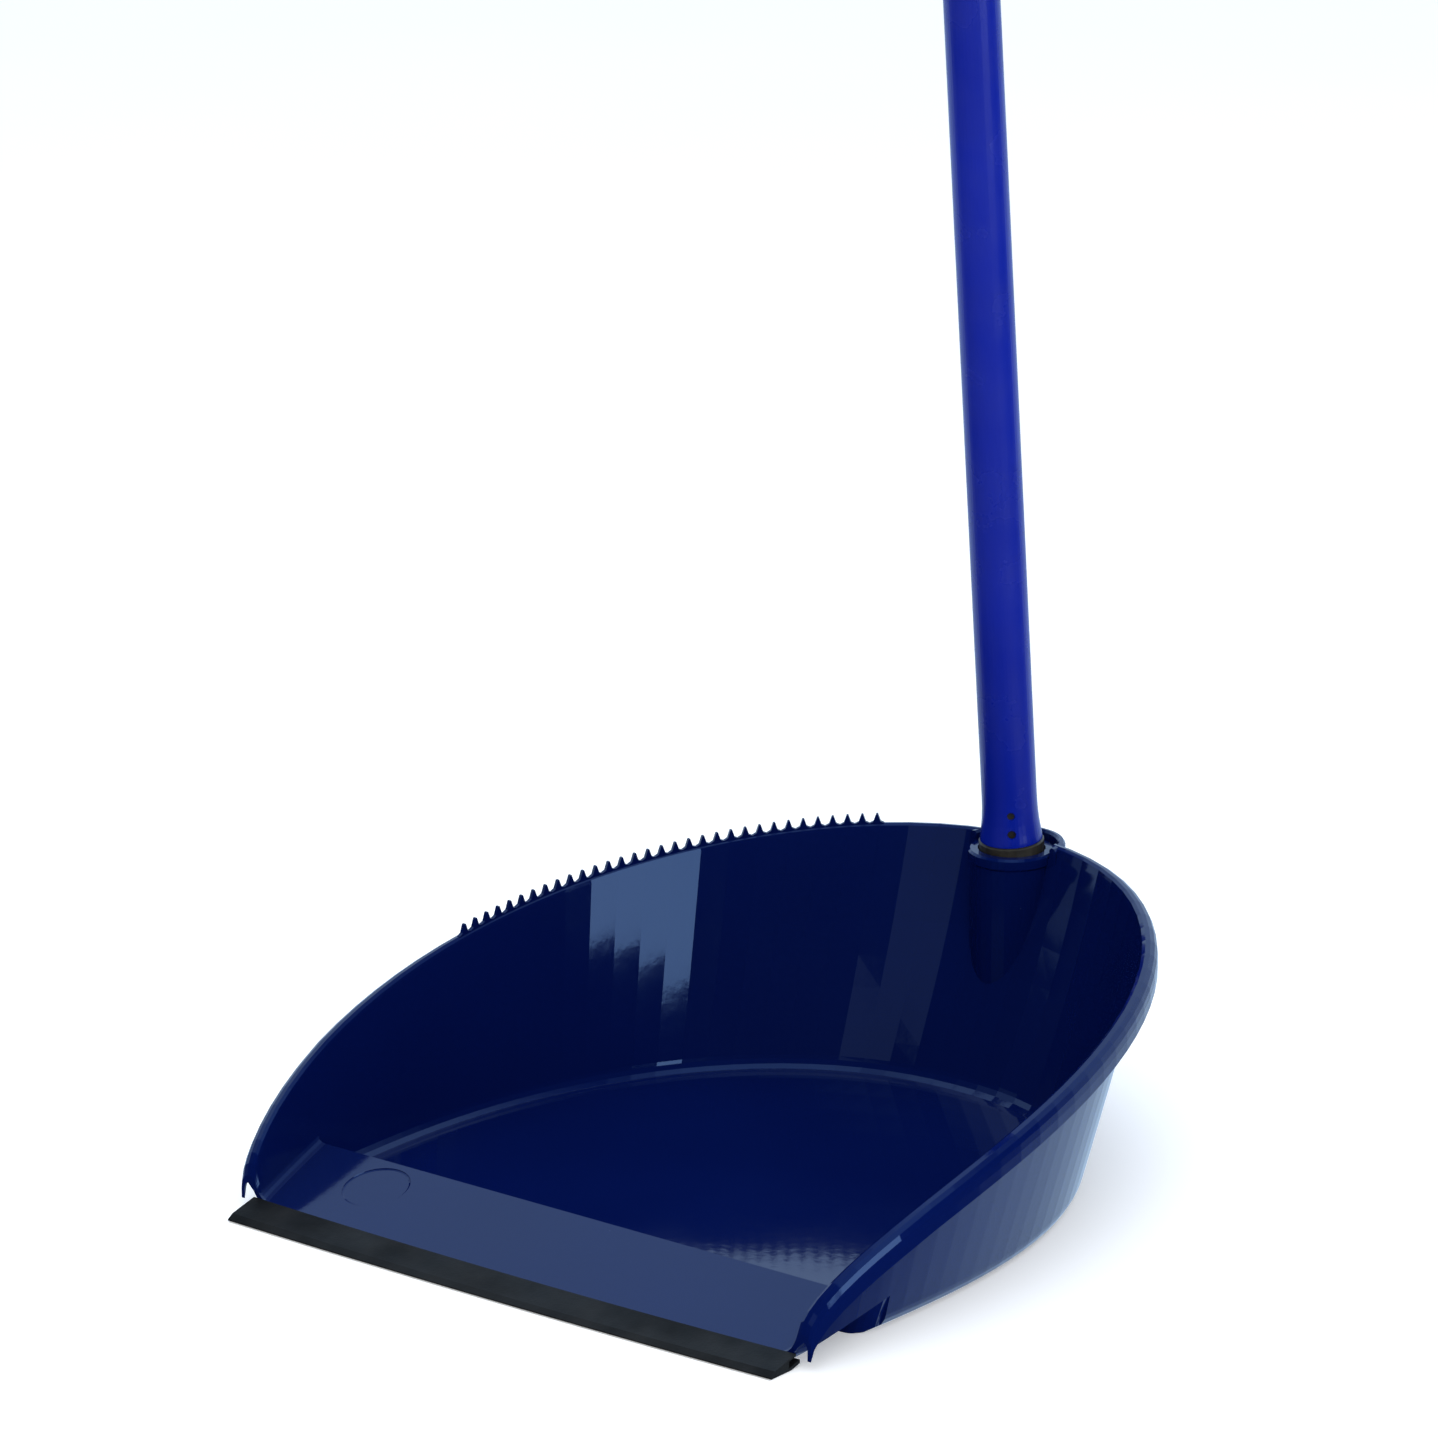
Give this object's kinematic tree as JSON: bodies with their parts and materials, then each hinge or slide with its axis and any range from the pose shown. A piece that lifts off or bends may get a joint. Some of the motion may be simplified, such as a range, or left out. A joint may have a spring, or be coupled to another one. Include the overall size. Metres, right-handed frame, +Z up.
{
  "type": "long-handled dustpan",
  "caption": "Upright dustpan: a deep moulded pan with a toothed rim and a rubber lip, and a long steel handle that screws into a socket at the back.",
  "frame": {"origin": "centre of the footprint, at floor level", "axes": "+Z up, -Y towards the sweeping lip, +X to the right of someone facing the lip from behind the handle"},
  "size_m": [0.3042, 0.347, 0.8203],
  "materials": {
    "pan_plastic": "gloss",
    "lip_rubber": "matte",
    "handle_paint": "satin gloss",
    "insert_plastic": "matte",
    "cap_plastic": "satin"
  },
  "bodies": {
    "pan": {"pan": "pan_plastic", "rubber_lip": "lip_rubber"},
    "cap": {"hanging_cap": "cap_plastic"},
    "handle": {"handle_tube": "handle_paint", "threaded_insert": "insert_plastic"}
  },
  "joints": [
    {"name": "handle_rise", "type": "slide", "parent": "pan", "child": "cap", "axis": [0, -0.0929, 0.9957], "range_m": [0, 0.03]},
    {"name": "handle_turn", "type": "hinge", "parent": "cap", "child": "handle", "pos_m": [0, 0.15163, 0.09605], "axis": [0, -0.0929, 0.9957], "range_deg": [0, 2161]}
  ],
  "couplings": [
    {"joint": "handle_turn", "follows": "handle_rise", "rad_per_m": 1256.6}
  ]
}
